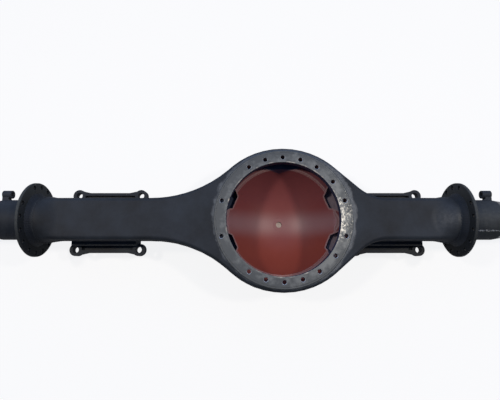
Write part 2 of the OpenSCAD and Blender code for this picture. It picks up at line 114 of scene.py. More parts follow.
def black_enamel(name, grain_mm, grain_depth_mm, bare=None, bare_tones=("#43474A", "#7C8082"),
                 tones=("#0F1318", "#272D34"), dustiness=0.05, rub=0.4, front_painted_light=0.0):
    """Sprayed satin black enamel: a cloudy near-black with a soft sheen, over the grain of what lies below.

    Dust lies on faces that look up; towards the front an optional share adds painted light in the dust tone,
    and edges are rubbed grey.
    bare, if given, makes the mask of the places where the paint is off, which show the two bare tones.
    """
    cloud_mm, speck_mm, edge_mm = 150, 11, 2.2
    dust_tone, rub_tone = "#70746F", "#6B7073"
    thin_cloud, thick_cloud = 0.33, 0.67  # noise levels at which the first and the second tone are full
    dust_lean = 0.3  # upward share of the normal from which dust stays on a face
    front_y = 0.1  # painted light in the dust tone grows from this far behind the axle to this far in front of it
    material, tree, out = new_material(name)
    place = add(tree, "ShaderNodeTexCoord").outputs["Object"]
    cloud = add(tree, "ShaderNodeTexNoise", {
        "Vector": place, "Scale": per_metre(cloud_mm), "Detail": 5.0, "Roughness": 0.6})
    speck = add(tree, "ShaderNodeTexNoise", {
        "Vector": place, "Scale": per_metre(speck_mm), "Detail": 6.0, "Roughness": 0.7})
    grain = add(tree, "ShaderNodeTexNoise", {"Vector": place, "Scale": per_metre(grain_mm), "Detail": 3.0})
    soft, edge = worn_edges(tree, edge_mm, rub)
    rubbed = add(tree, "ShaderNodeMath", {0: edge, 1: speck.outputs["Fac"]}, operation="MULTIPLY")
    up = add(tree, "ShaderNodeSeparateXYZ", {
        "Vector": add(tree, "ShaderNodeNewGeometry").outputs["Normal"]})
    settle = add(tree, "ShaderNodeMapRange", {
        "Value": up.outputs["Z"], "From Min": dust_lean, "From Max": 1.0, "To Min": 0.0, "To Max": dustiness})
    top_dust = add(tree, "ShaderNodeMath", {
        0: settle.outputs["Result"], 1: speck.outputs["Fac"]}, operation="MULTIPLY")
    patches = add(tree, "ShaderNodeMapRange", {
        "Value": cloud.outputs["Fac"], "From Min": thin_cloud, "From Max": thick_cloud})
    tone = add(tree, "ShaderNodeMix", {
        "Factor": patches.outputs["Result"], 6: linear(tones[0]), 7: linear(tones[1])}, data_type="RGBA")
    side = add(tree, "ShaderNodeSeparateXYZ", {"Vector": place})
    # painted light towards the front, in the dust tone
    front_light_mask = add(tree, "ShaderNodeMapRange", {
        "Value": side.outputs["Y"], "From Min": -front_y, "From Max": front_y,
        "To Min": 0.0, "To Max": front_painted_light})
    dust_and_front_light = add(tree, "ShaderNodeMath", {
        0: top_dust.outputs["Value"], 1: front_light_mask.outputs["Result"]}, operation="ADD")
    dusty_and_front_lit = add(tree, "ShaderNodeMix", {
        "Factor": dust_and_front_light.outputs["Value"], 6: tone.outputs[2], 7: linear(dust_tone)}, data_type="RGBA")
    worn = add(tree, "ShaderNodeMix", {
        "Factor": rubbed.outputs["Value"], 6: dusty_and_front_lit.outputs[2], 7: linear(rub_tone)}, data_type="RGBA")
    gloss = add(tree, "ShaderNodeMapRange", {
        "Value": cloud.outputs["Fac"], "To Min": 0.60, "To Max": 0.72})
    bump = add(tree, "ShaderNodeBump", {
        "Height": grain.outputs["Fac"], "Strength": 0.5, "Distance": grain_depth_mm / 1000, "Normal": soft})
    paint = add(tree, "ShaderNodeBsdfPrincipled", {
        "Base Color": worn.outputs[2], "Roughness": gloss.outputs["Result"], "IOR": 1.5,
        "Specular IOR Level": 0.3, "Normal": bump.outputs["Normal"]})
    surface = paint.outputs["BSDF"]
    if bare:
        shade = add(tree, "ShaderNodeMix", {
            "Factor": speck.outputs["Fac"], 6: linear(bare_tones[0]), 7: linear(bare_tones[1])},
            data_type="RGBA")
        metal = add(tree, "ShaderNodeBsdfPrincipled", {
            "Base Color": shade.outputs[2], "Metallic": 0.6, "Roughness": 0.5,
            "Normal": bump.outputs["Normal"]})
        mix = add(tree, "ShaderNodeMixShader", {
            0: bare(tree, place, speck, up), 1: surface, 2: metal.outputs["BSDF"]})
        surface = mix.outputs["Shader"]
    tree.links.new(surface, out.inputs["Surface"])
    return material


def sanded_halo(tree, place, speck, up):
    """Mask of the plate sanded with the ring, out to a ragged edge, and of a scuff on the right arm that is
    partly a painted highlight.
    """
    halo_r, ragged, lobe_mm = 0.2135, 0.04, 52
    lean = (0.018, 0.028, 0.0)  # the halo is a little wider on the right and at the front
    fade_from, fade_to, halo_share = 0.004, 0.012, 0.62
    steep, level = 0.6, 0.95  # upward shares of the normal where the sander starts and is fully on
    scuff_at, scuff_r, scuff_core, scuff_and_highlight_share = (0.55, -0.004, 0.0), 0.06, 0.01, 0.45
    flat = add(tree, "ShaderNodeVectorMath", {0: place, 1: (1.0, 1.0, 0.0)}, operation="MULTIPLY")
    reach = add(tree, "ShaderNodeVectorMath", {0: flat.outputs["Vector"]}, operation="LENGTH")
    lobes = add(tree, "ShaderNodeTexNoise", {
        "Vector": place, "Scale": per_metre(lobe_mm), "Detail": 6.0, "Roughness": 0.62})
    wider = add(tree, "ShaderNodeVectorMath", {0: place, 1: lean}, operation="DOT_PRODUCT")
    even = add(tree, "ShaderNodeMath", {0: wider.outputs["Value"], 1: halo_r}, operation="ADD")
    edge = add(tree, "ShaderNodeMath", {
        0: lobes.outputs["Fac"], 1: ragged, 2: even.outputs["Value"]}, operation="MULTIPLY_ADD")
    past = add(tree, "ShaderNodeMath", {
        0: reach.outputs["Value"], 1: edge.outputs["Value"]}, operation="SUBTRACT")
    near = add(tree, "ShaderNodeMapRange", {
        "Value": past.outputs["Value"], "From Min": fade_from, "From Max": fade_to,
        "To Min": halo_share, "To Max": 0.0})
    top = add(tree, "ShaderNodeMapRange", {"Value": up.outputs["Z"], "From Min": steep, "From Max": level})
    halo = add(tree, "ShaderNodeMath", {
        0: near.outputs["Result"], 1: top.outputs["Result"]}, operation="MULTIPLY")
    # a scuff on the right arm, partly real and partly a painted highlight on its slope
    from_scuff = add(tree, "ShaderNodeVectorMath", {
        0: flat.outputs["Vector"], 1: scuff_at}, operation="DISTANCE")
    scuff_and_highlight = add(tree, "ShaderNodeMapRange", {
        "Value": from_scuff.outputs["Value"], "From Min": scuff_r, "From Max": scuff_core,
        "To Min": 0.0, "To Max": scuff_and_highlight_share})
    rubbed = add(tree, "ShaderNodeMath", {
        0: scuff_and_highlight.outputs["Result"], 1: speck.outputs["Fac"]}, operation="MULTIPLY")
    return add(tree, "ShaderNodeMath", {
        0: halo.outputs["Value"], 1: rubbed.outputs["Value"]}, operation="MAXIMUM").outputs["Value"]


def red_primer(name, thick, thin, film):
    """Red oxide primer: a brownish red with a low sheen, in thick and thin patches, with painted highlights
    in pale pink along its edges.

    A violet grey haze grows towards the front, and a wedge at the front of the bowl is painted blue black as
    painted shadow.
    film is the share of a grey film along the trough, partly oil and partly a painted sheen, and there is
    more of it towards the arms.
    """
    cloud_mm, fine_mm = 140, 5
    lip_mm, lip_highlight_share, lip_highlight_tone = 9.0, 0.9, "#A38682"
    drain_clear = 0.06  # closer to the drain than this no edge gets the painted highlight
    trough_half, trough_core, film_and_sheen_tone = 0.064, 0.004, "#9A7673"
    film_near, film_far, film_gain = 0.04, 0.15, 1.5
    haze_y, haze_share, haze_tone = 0.1, 0.2, "#685C76"
    wedge_x, wedge_y, wedge_fade, wedge_slope, wedge_shadow_tone = -0.006, 0.178, 0.004, 0.2, "#26344C"
    material, tree, out = new_material(name)
    place = add(tree, "ShaderNodeTexCoord").outputs["Object"]
    cloud = add(tree, "ShaderNodeTexNoise", {"Vector": place, "Scale": per_metre(cloud_mm), "Detail": 3.0})
    fine = add(tree, "ShaderNodeTexNoise", {"Vector": place, "Scale": per_metre(fine_mm), "Detail": 4.0})
    edge = worn_edges(tree, lip_mm, lip_highlight_share)[1]
    side = add(tree, "ShaderNodeSeparateXYZ", {"Vector": place})
    off = add(tree, "ShaderNodeMath", {0: side.outputs["Y"]}, operation="ABSOLUTE")
    far = add(tree, "ShaderNodeMath", {0: side.outputs["X"]}, operation="ABSOLUTE")
    level = add(tree, "ShaderNodeMapRange", {
        "Value": far.outputs["Value"], "From Min": film_near, "From Max": film_far,
        "To Min": film, "To Max": film * film_gain})
    # grey film along the trough: partly oil, partly a painted sheen
    trough = add(tree, "ShaderNodeMapRange", {
        "Value": off.outputs["Value"], "From Min": trough_half, "From Max": trough_core,
        "To Min": 0.0, "To Max": level.outputs["Result"]}, interpolation_type="SMOOTHSTEP")
    tone = add(tree, "ShaderNodeMix", {
        "Factor": cloud.outputs["Fac"], 6: linear(thick), 7: linear(thin)}, data_type="RGBA")
    oily_and_sheen = add(tree, "ShaderNodeMix", {
        "Factor": trough.outputs["Result"], 6: tone.outputs[2], 7: linear(film_and_sheen_tone)}, data_type="RGBA")
    # a violet grey haze that grows towards the front
    haze = add(tree, "ShaderNodeMapRange", {
        "Value": side.outputs["Y"], "From Min": -haze_y, "From Max": haze_y,
        "To Min": 0.0, "To Max": haze_share})
    hazy = add(tree, "ShaderNodeMix", {
        "Factor": haze.outputs["Result"], 6: oily_and_sheen.outputs[2], 7: linear(haze_tone)}, data_type="RGBA")
    flat = add(tree, "ShaderNodeVectorMath", {0: place, 1: (1.0, 1.0, 0.0)}, operation="MULTIPLY")
    reach = add(tree, "ShaderNodeVectorMath", {0: flat.outputs["Vector"]}, operation="LENGTH")
    away = add(tree, "ShaderNodeMath", {
        0: reach.outputs["Value"], 1: drain_clear}, operation="GREATER_THAN")
    # painted highlights along the lips of the edges, kept off the drain
    lip_highlights = add(tree, "ShaderNodeMath", {0: edge, 1: away.outputs["Value"]}, operation="MULTIPLY")
    rubbed = add(tree, "ShaderNodeMix", {
        "Factor": lip_highlights.outputs["Value"], 6: hazy.outputs[2], 7: linear(lip_highlight_tone)}, data_type="RGBA")
    # painted shadow: a blue black wedge at the front of the bowl
    aside = add(tree, "ShaderNodeVectorMath", {0: place, 1: (-wedge_x, 0.0, 0.0)}, operation="ADD")
    spread = add(tree, "ShaderNodeVectorMath", {0: aside.outputs["Vector"]}, operation="ABSOLUTE")
    depth = add(tree, "ShaderNodeVectorMath", {
        0: spread.outputs["Vector"], 1: (-wedge_slope, 1.0, 0.0)}, operation="DOT_PRODUCT")
    in_shadow_wedge = add(tree, "ShaderNodeMapRange", {
        "Value": depth.outputs["Value"], "From Min": wedge_y, "From Max": wedge_y + wedge_fade})
    front = add(tree, "ShaderNodeMath", {0: side.outputs["Y"], 1: 0.0}, operation="GREATER_THAN")
    shadow_wedge = add(tree, "ShaderNodeMath", {
        0: in_shadow_wedge.outputs["Result"], 1: front.outputs["Value"]}, operation="MULTIPLY")
    coat = add(tree, "ShaderNodeMix", {
        "Factor": shadow_wedge.outputs["Value"], 6: rubbed.outputs[2], 7: linear(wedge_shadow_tone)}, data_type="RGBA")
    gloss = add(tree, "ShaderNodeMapRange", {
        "Value": cloud.outputs["Fac"], "To Min": 0.40, "To Max": 0.52})
    bump = add(tree, "ShaderNodeBump", {
        "Height": fine.outputs["Fac"], "Strength": 0.15, "Distance": 0.0004})
    paint = add(tree, "ShaderNodeBsdfPrincipled", {
        "Base Color": coat.outputs[2], "Roughness": gloss.outputs["Result"], "IOR": 1.5,
        "Normal": bump.outputs["Normal"]})
    tree.links.new(paint.outputs["BSDF"], out.inputs["Surface"])
    return material


def smooth(piece, angle=32):
    """Smooth shading over edges that turn by less than the angle, also where the mesh is split there."""
    least = math.cos(math.radians(angle))
    own_share = 1e-9  # keeps a face's own normal where every face round a corner has no area
    mesh = piece.data
    spots = [tuple(round(c, 6) for c in vertex.co) for vertex in mesh.vertices]
    around = {}
    for face in mesh.polygons:
        for i in face.vertices:
            around.setdefault(spots[i], []).append((face.normal.copy(), face.area))
    normals = []
    for face in mesh.polygons:
        for i in face.vertices:
            total = face.normal * own_share
            for normal, area in around[spots[i]]:
                if normal.dot(face.normal) > least:
                    total = total + normal * area
            normals.append(total.normalized())
    mesh.shade_smooth()
    mesh.normals_split_custom_set(normals)


def paint_faces(piece, coats, choose):
    """Several coats on one piece; choose gives the number of the coat from a face."""
    piece.data.materials.clear()
    for coat in coats:
        piece.data.materials.append(coat)
    for face in piece.data.polygons:
        face.material_index = choose(face)
    smooth(piece)


nodes = frame["nodes"]
flange_low, flange_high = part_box("left_brake_flange")
axle_z = (flange_low.z + flange_high.z) / 2
floor_lean = 0.7  # upward share of the normal from which a face inside is floor
shell_black = black_enamel("satin_black_enamel_on_plate", 5, 0.25, sanded_halo)
# dark blue black for the walls inside; on the ring's bore and in the left pans it is painted shade
inside_black_and_shade = black_enamel("dark_inside_and_painted_shade", 8, 0.2, tones=("#1F2A3E", "#2C3950"))
primer = red_primer("red_oxide_primer", "#6A2A24", "#7C372D", 0.0)


def shell_coat(face):
    """0 outside, 1 on the floor inside, 2 on the walls and the ceiling inside."""
    if face.normal.dot(Vector((face.center.x, 0, axle_z)) - face.center) <= 0:
        return 0
    return 1 if face.normal.z > floor_lean else 2


for name in ("lower_shell", "upper_shell"):
    paint_faces(nodes[name], (shell_black, primer, inside_black_and_shade), shell_coat)

# Seam welds
# Machine-laid steel beads along the front and the rear where the two halves meet.
# Painted over with the shells, so only their ripples show.
scene = bpy.context.scene


def bead(name, foot_a, foot_b, out, height, ripple, pitch, closed):
    """Weld bead between two rows of foot points, with the curved ripples of its pools, in metres."""
    across = 9
    pool_bow = 0.45  # the middle of a ripple lies this far past its ends along the run, in pitches
    back_depth = 0.0015  # the hidden back lies this far below the feet, or below a face that sinks
    steps = len(foot_a)
    middle = (foot_a + foot_b) / 2
    run = np.concatenate([[0.0], np.cumsum(np.linalg.norm(np.diff(middle, axis=0), axis=1))])
    pools = run[:, None] / pitch
    v = np.linspace(0.0, 1.0, across)[None, :]
    bow = 4 * v * (1 - v)
    # two slow waves make the ripples a little uneven
    wander = 0.25 * np.sin(pools * 0.83) + 0.2 * np.sin(pools * 0.31 + 1.0)
    waves = np.abs(np.sin(np.pi * (pools - pool_bow * bow))) - 0.5 + wander
    lift = height * bow + ripple * bow * waves
    flat = foot_a[:, None] * (1 - v)[..., None] + foot_b[:, None] * v[..., None]
    face_rows = flat + out[:, None] * lift[..., None]
    back_rows = np.stack([foot_b, foot_a], axis=1) - out[:, None] * (max(0.0, -height) + back_depth)
    loops = np.concatenate([face_rows, back_rows], axis=1)
    count = across + 2
    faces = []
    for i in range(steps if closed else steps - 1):
        a, b = i * count, (i + 1) % steps * count
        faces += [(a + j, a + (j + 1) % count, b + (j + 1) % count, b + j) for j in range(count)]
    if not closed:
        faces += [tuple(range(count))[::-1], tuple((steps - 1) * count + j for j in range(count))]
    mesh = bpy.data.meshes.new(name)
    mesh.from_pydata(loops.reshape(-1, 3).tolist(), [], faces)
    mesh.validate()
    piece = bpy.data.objects.new(name, mesh)
    scene.collection.objects.link(piece)
    return piece


weld_black = black_enamel("satin_black_enamel_on_weld", 1.6, 0.3)
bead_angle = 60
seam_half, seam_height, seam_ripple, seam_pitch, seam_steps = 0.0068, 0.0021, 0.0007, 0.0062, 1100
for name, side in (("front_seam_weld", 1.0), ("rear_seam_weld", -1.0)):
    stations = {}
    for vertex in nodes[name].data.vertices:
        stations.setdefault(round(vertex.co.x, 4), []).append(vertex.co)
    xs = np.array(sorted(stations))
    plan = np.array([min(abs(p.y) for p in stations[x]) for x in sorted(stations)])
    x = np.linspace(xs[0], xs[-1], seam_steps)
    y = np.interp(x, xs, plan)
    slope = np.gradient(y, x)
    out = np.stack([-slope, np.ones_like(x), np.zeros_like(x)], axis=1)
    out /= np.linalg.norm(out, axis=1)[:, None]
    out[:, 1] *= side
    lower, upper = [
        np.stack([x, y * side, np.full_like(x, axle_z + dz)], axis=1) for dz in (-seam_half, seam_half)]
    seam = bead(name + "_bead", lower, upper, out, seam_height, seam_ripple, seam_pitch, False)
    seam.data.materials.append(weld_black)
    smooth(seam, bead_angle)
    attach(seam, "root")
    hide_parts(name)

# Carrier ring
# A forged and turned steel ring set into the upper shell, its face ground flat after painting.
# Bare patches shine on the right, dark stains stay on the left; the holes are countersunk and tapped.


def mount_r(name):
    """Radius of one of the record's round mounts, in metres."""
    return next(m["dims"]["r_mm"] for m in frame["record"]["mounts"] if m["name"] == name) / 1000


bore_r = mount_r("carrier_pilot")
ring_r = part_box("carrier_ring")[1].x
wall_lean = 0.3  # a face is a hole's wall if the share of its normal along the hole is less than this
face_lean = 0.95  # upward share of the normal from which a face is flat
skin = 0.002  # a face this close to a radius belongs to the wall there


def ground_ring():
    """Ground mild steel: a soft grey shine, dull with stains on the left and rubbed bright on the right, with
    painted highlights along the bore and on the rims of its edges.

    The grinding marks run round the ring; real ones are finer, and these show in a close view.
    """
    mark_mm, stain_mm, chip_mm, edge_mm, edge_share = 1.2, 34, 9, 2.4, 0.25
    clean_tone, stained_tone, bright_tone, rim_highlight_tone = "#828480", "#4A4D4D", "#DCD8C8", "#C9C2B2"
    mark_stretch = 0.02  # the pattern is squeezed by this round the ring, which draws the marks out
    stain_lean, stain_base = -0.28, 0.02  # stains grow towards the left
    outer_from, outer_to, outer_stain = bore_r + 0.012, bore_r + 0.031, 0.13
    inner_from, inner_to, inner_sheen_share = bore_r + 0.001, bore_r + 0.019, 0.12
    lip_from, lip_to, bore_lip_highlight = bore_r + 0.0055, bore_r + 0.0015, 0.8
    right_from, right_to = 0.78, 0.99  # cosines of the angles from +X where the right side starts and is full
    unworn, worn_right = -0.24, 0.035
    material, tree, out = new_material("ground_mild_steel")
    place = add(tree, "ShaderNodeTexCoord").outputs["Object"]
    side = add(tree, "ShaderNodeSeparateXYZ", {"Vector": place})
    turn = add(tree, "ShaderNodeMath", {0: side.outputs["Y"], 1: side.outputs["X"]}, operation="ARCTAN2")
    flat = add(tree, "ShaderNodeVectorMath", {0: place, 1: (1.0, 1.0, 0.0)}, operation="MULTIPLY")
    reach = add(tree, "ShaderNodeVectorMath", {0: flat.outputs["Vector"]}, operation="LENGTH")
    lap = add(tree, "ShaderNodeCombineXYZ", {"X": turn.outputs["Value"], "Y": reach.outputs["Value"]})
    marks_at = add(tree, "ShaderNodeVectorMath", {
        0: lap.outputs["Vector"], 1: (mark_stretch, 1.0, 1.0)}, operation="MULTIPLY")
    marks = add(tree, "ShaderNodeTexNoise", {
        "Vector": marks_at.outputs["Vector"], "Scale": per_metre(mark_mm), "Detail": 3.0})
    stain = add(tree, "ShaderNodeTexNoise", {
        "Vector": place, "Scale": per_metre(stain_mm), "Detail": 6.0, "Roughness": 0.62})
    chips = add(tree, "ShaderNodeTexNoise", {
        "Vector": place, "Scale": per_metre(chip_mm), "Detail": 7.0, "Roughness": 0.7})
    soft, edge = worn_edges(tree, edge_mm, edge_share)
    left = add(tree, "ShaderNodeMath", {
        0: side.outputs["X"], 1: stain_lean, 2: stain_base}, operation="MULTIPLY_ADD")
    outer = add(tree, "ShaderNodeMapRange", {
        "Value": reach.outputs["Value"], "From Min": outer_from, "From Max": outer_to,
        "To Min": 0.0, "To Max": outer_stain})
    stains = add(tree, "ShaderNodeMath", {
        0: stain.outputs["Fac"], 1: outer.outputs["Result"]}, operation="ADD")
    stained = add(tree, "ShaderNodeMath", {
        0: stains.outputs["Value"], 1: left.outputs["Value"]}, operation="ADD")
    dirt = add(tree, "ShaderNodeMapRange", {
        "Value": stained.outputs["Value"], "From Min": 0.40, "From Max": 0.62,
        "To Min": 0.25, "To Max": 0.85})
    towards = add(tree, "ShaderNodeMath", {
        0: side.outputs["X"], 1: reach.outputs["Value"]}, operation="DIVIDE")
    right = add(tree, "ShaderNodeMapRange", {
        "Value": towards.outputs["Value"], "From Min": right_from, "From Max": right_to,
        "To Min": unworn, "To Max": worn_right})
    # painted sheen that grows towards the bore, where it shows on the worn right side
    inner = add(tree, "ShaderNodeMapRange", {
        "Value": reach.outputs["Value"], "From Min": inner_from, "From Max": inner_to,
        "To Min": inner_sheen_share, "To Max": 0.0})
    wear_and_sheen = add(tree, "ShaderNodeMath", {
        0: right.outputs["Result"], 1: inner.outputs["Result"]}, operation="ADD")
    rub = add(tree, "ShaderNodeMath", {
        0: chips.outputs["Fac"], 1: wear_and_sheen.outputs["Value"]}, operation="ADD")
    bright = add(tree, "ShaderNodeMapRange", {
        "Value": rub.outputs["Value"], "From Min": 0.55, "From Max": 0.72})
    steel = add(tree, "ShaderNodeMix", {
        "Factor": dirt.outputs["Result"], 6: linear(clean_tone), 7: linear(stained_tone)}, data_type="RGBA")
    shine = add(tree, "ShaderNodeMix", {
        "Factor": bright.outputs["Result"], 6: steel.outputs[2], 7: linear(bright_tone)}, data_type="RGBA")
    # painted highlights: pale glints in patches along the bore's edge and on the rims of the edges
    lip = add(tree, "ShaderNodeMapRange", {
        "Value": reach.outputs["Value"], "From Min": lip_from, "From Max": lip_to,
        "To Min": 0.0, "To Max": bore_lip_highlight})
    rim_glint = add(tree, "ShaderNodeMath", {0: edge, 1: lip.outputs["Result"]}, operation="ADD")
    patchy = add(tree, "ShaderNodeMapRange", {
        "Value": stain.outputs["Fac"], "From Min": 0.50, "From Max": 0.66})
    rim_highlight = add(tree, "ShaderNodeMath", {
        0: rim_glint.outputs["Value"], 1: patchy.outputs["Result"]}, operation="MULTIPLY", use_clamp=True)
    worn = add(tree, "ShaderNodeMix", {
        "Factor": rim_highlight.outputs["Value"], 6: shine.outputs[2], 7: linear(rim_highlight_tone)}, data_type="RGBA")
    gloss = add(tree, "ShaderNodeMapRange", {
        "Value": bright.outputs["Result"], "To Min": 0.52, "To Max": 0.34})
    bump = add(tree, "ShaderNodeBump", {
        "Height": marks.outputs["Fac"], "Strength": 0.25, "Distance": 0.0003, "Normal": soft})
    metal = add(tree, "ShaderNodeBsdfPrincipled", {
        "Base Color": worn.outputs[2], "Metallic": 0.55, "Roughness": gloss.outputs["Result"],
        "Normal": bump.outputs["Normal"]})
    tree.links.new(metal.outputs["BSDF"], out.inputs["Surface"])
    return material


def oiled_thread(name, hex_colour, pitch_mm):
    """Tapped steel with oil on it: dark, with the thread's flanks as bands along a hole that lies along Z."""
    grime_mm = 6
    band_share = math.tau / 20  # the scale at which a wave texture has one band in a unit
    material, tree, out = new_material(name)
    place = add(tree, "ShaderNodeTexCoord").outputs["Object"]
    flank = add(tree, "ShaderNodeTexWave", {
        "Vector": place, "Scale": per_metre(pitch_mm) * band_share}, bands_direction="Z", wave_profile="TRI")
    grime = add(tree, "ShaderNodeTexNoise", {"Vector": place, "Scale": per_metre(grime_mm), "Detail": 4.0})
    tone = add(tree, "ShaderNodeMix", {
        "Factor": grime.outputs["Fac"], 6: linear("#0E0D0F"), 7: linear(hex_colour)}, data_type="RGBA")
    bump = add(tree, "ShaderNodeBump", {"Height": flank.outputs["Fac"], "Strength": 0.8, "Distance": 0.001})
    steel = add(tree, "ShaderNodeBsdfPrincipled", {
        "Base Color": tone.outputs[2], "Metallic": 0.4, "Roughness": 0.45, "Normal": bump.outputs["Normal"]})
    tree.links.new(steel.outputs["BSDF"], out.inputs["Surface"])
    return material


def cut_steel():
    """Freshly countersunk steel: clean and bright, with a soft shine."""
    material, tree, out = new_material("countersunk_steel")
    metal = add(tree, "ShaderNodeBsdfPrincipled", {
        "Base Color": linear("#D6D3CC"), "Metallic": 1.0, "Roughness": 0.42})
    tree.links.new(metal.outputs["BSDF"], out.inputs["Surface"])
    return material


ring_steel = ground_ring()
hole_thread = oiled_thread("oiled_steel_thread", "#6E6462", 2.0)


def ring_coat(face):
    """0 on the faces, 1 in the tapped holes, 2 on the wall of the bore, painted dark as shade, 3 on the
    countersinks.
    """
    reach = math.hypot(face.center.x, face.center.y)
    if wall_lean < face.normal.z < face_lean:
        return 3
    if abs(face.normal.z) > wall_lean or reach > ring_r - skin:
        return 0
    return 1 if reach > bore_r + skin else 2


# the bore's wall gets the dark inside coat as painted shade
paint_faces(nodes["carrier_ring"], (ring_steel, hole_thread, inside_black_and_shade, cut_steel()), ring_coat)

# Ring weld
# A steel bead round the ring, ground down with the ring's face until it lay almost flush.
# Its metal shows the same grinding as the ring beside it.
paint_faces(nodes["ring_weld"], (ring_steel,), lambda face: 0)

# Bowl dish
# A pressed steel dish that closes the bowl, with a spout towards each arm and bites for the notches.
# Red oxide primer inside with a grey film along the trough, partly oil and partly a painted sheen; black
# enamel outside.
dish_primer = red_primer("red_oxide_primer_with_oil_film_and_painted_sheen", "#7F372C", "#914433", 0.5)
dish_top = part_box("bowl_dish")[1].z
dish_eye = Vector((0, 0, dish_top + 0.05))  # a point above the dish that sees all of its inside
paint_faces(nodes["bowl_dish"], (shell_black, dish_primer), lambda face: int(
    face.normal.dot(dish_eye - face.center) > 0))

# Dish weld
# A hand-laid steel fillet round the outside of the dish, in four runs between the gusset pans.
# Painted black with the shells.
weld_low, weld_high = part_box("dish_weld")
toe_r, root_r = weld_high.x, 0.1862  # the root is sunk two millimetres into the dish
out_share, down_share = 0.55, 0.835  # direction that the fillet's face looks, away from the axis and down
run_ripple, run_pitch, run_steps = 0.0012, 0.0085, 5  # run_steps counts the points in a degree
long_run, short_run = (37.0, 143.0), (-8.0, 8.0)
runs = []
for start, end in [(a + half, b + half) for a, b in (long_run, short_run) for half in (0.0, 180.0)]:
    turn = np.radians(np.linspace(start, end, int((end - start) * run_steps)))
    ray = np.stack([np.cos(turn), np.sin(turn), np.zeros_like(turn)], axis=1)
    out = ray * out_share - np.array([0, 0, down_share])
    toe = ray * toe_r + np.array([0, 0, weld_high.z])
    root = ray * root_r + np.array([0, 0, weld_low.z])
    runs.append(bead("dish_weld_run", toe, root, out, 0.0, run_ripple, run_pitch, False))
points, faces = [], []
for run in runs:
    faces += [tuple(len(points) + i for i in face.vertices) for face in run.data.polygons]
    points += [tuple(vertex.co) for vertex in run.data.vertices]
    bpy.data.objects.remove(run)
mesh = bpy.data.meshes.new("dish_weld_bead")
mesh.from_pydata(points, [], faces)
dish_bead = bpy.data.objects.new("dish_weld_bead", mesh)
scene.collection.objects.link(dish_bead)
mesh.materials.append(weld_black)
smooth(dish_bead, bead_angle)
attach(dish_bead, "root")
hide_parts("dish_weld")

# Drain bung
# A turned steel bung welded through the bottom of the dish and tapped for the plug.
# Primer inside with the dish, black enamel outside, oiled thread in the hole.
drain_thread = oiled_thread("oiled_drain_thread", "#8A7466", 1.5)
drain_r = mount_r("drain_hole")
end_lean = 0.5  # upward share of the normal from which a face is the bung's inner end


def bung_coat(face):
    """0 outside, 1 on the inner end, 2 in the hole."""
    if math.hypot(face.center.x, face.center.y) < drain_r + skin and abs(face.normal.z) < wall_lean:
        return 2
    return int(face.normal.z > end_lean)


paint_faces(nodes["drain_bung"], (weld_black, dish_primer, drain_thread), bung_coat)

# Gusset pans
# Four small pressed steel pans welded under the shell to close its relief notches.
# The right ones keep a thin violet-grey shop primer inside; the left ones are painted dark there, as painted
# shade.


def shop_primer():
    """Thin weldable shop primer: a dull violet grey, with mill scale showing through."""
    scale_mm = 14
    material, tree, out = new_material("grey_shop_primer")
    place = add(tree, "ShaderNodeTexCoord").outputs["Object"]
    scale = add(tree, "ShaderNodeTexNoise", {
        "Vector": place, "Scale": per_metre(scale_mm), "Detail": 5.0, "Roughness": 0.6})
    tone = add(tree, "ShaderNodeMix", {
        "Factor": scale.outputs["Fac"], 6: linear("#544A52"), 7: linear("#988A93")}, data_type="RGBA")
    paint = add(tree, "ShaderNodeBsdfPrincipled", {
        "Base Color": tone.outputs[2], "Roughness": 0.6, "IOR": 1.5})
    tree.links.new(paint.outputs["BSDF"], out.inputs["Surface"])
    return material


pan_primer = shop_primer()
eye_depth = 0.012  # a point this far below a pan's brim sees all of its inside
for name in ("front_left_gusset", "front_right_gusset", "rear_left_gusset", "rear_right_gusset"):
    low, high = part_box(name)
    eye = Vector(((low.x + high.x) / 2, (low.y + high.y) / 2, high.z - eye_depth))
    # the left pans are painted dark inside, as painted shade
    inside = pan_primer if eye.x > 0 else inside_black_and_shade
    paint_faces(nodes[name], (shell_black, inside), lambda face: int(
        face.normal.dot(eye - face.center) > 0))

# Spindles
# Forged and turned steel spindles welded to the necks. The collars are painted, the right one dusty and
# scuffed; the journals are ground bare and the ends carry a fine thread for the bearing nuts.


def turned_steel():
    """Ground bearing steel: bright, with fine marks round the spindle, which lies along X.

    The real marks are finer; these show in a close view.
    """
    mark_mm, oil_mm, edge_mm, edge_share = 0.9, 40, 1.0, 0.4
    mark_stretch = 0.04  # the pattern is squeezed by this across the spindle, which draws the marks out
    material, tree, out = new_material("ground_spindle_steel")
    place = add(tree, "ShaderNodeTexCoord").outputs["Object"]
    marks_at = add(tree, "ShaderNodeVectorMath", {
        0: place, 1: (1.0, mark_stretch, mark_stretch)}, operation="MULTIPLY")
    marks = add(tree, "ShaderNodeTexNoise", {
        "Vector": marks_at.outputs["Vector"], "Scale": per_metre(mark_mm), "Detail": 3.0})
    oil = add(tree, "ShaderNodeTexNoise", {"Vector": place, "Scale": per_metre(oil_mm), "Detail": 4.0})
    soft, edge = worn_edges(tree, edge_mm, edge_share)
    film = add(tree, "ShaderNodeMix", {
        "Factor": oil.outputs["Fac"], 6: linear("#8E8E8C"), 7: linear("#B9B8B4")}, data_type="RGBA")
    tone = add(tree, "ShaderNodeMix", {
        "Factor": edge, 6: film.outputs[2], 7: linear("#D2D1CD")}, data_type="RGBA")
    gloss = add(tree, "ShaderNodeMapRange", {
        "Value": oil.outputs["Fac"], "To Min": 0.24, "To Max": 0.38})
    bump = add(tree, "ShaderNodeBump", {
        "Height": marks.outputs["Fac"], "Strength": 0.2, "Distance": 0.0002, "Normal": soft})
    metal = add(tree, "ShaderNodeBsdfPrincipled", {
        "Base Color": tone.outputs[2], "Metallic": 1.0, "Roughness": gloss.outputs["Result"],
        "Normal": bump.outputs["Normal"]})
    tree.links.new(metal.outputs["BSDF"], out.inputs["Surface"])
    return material


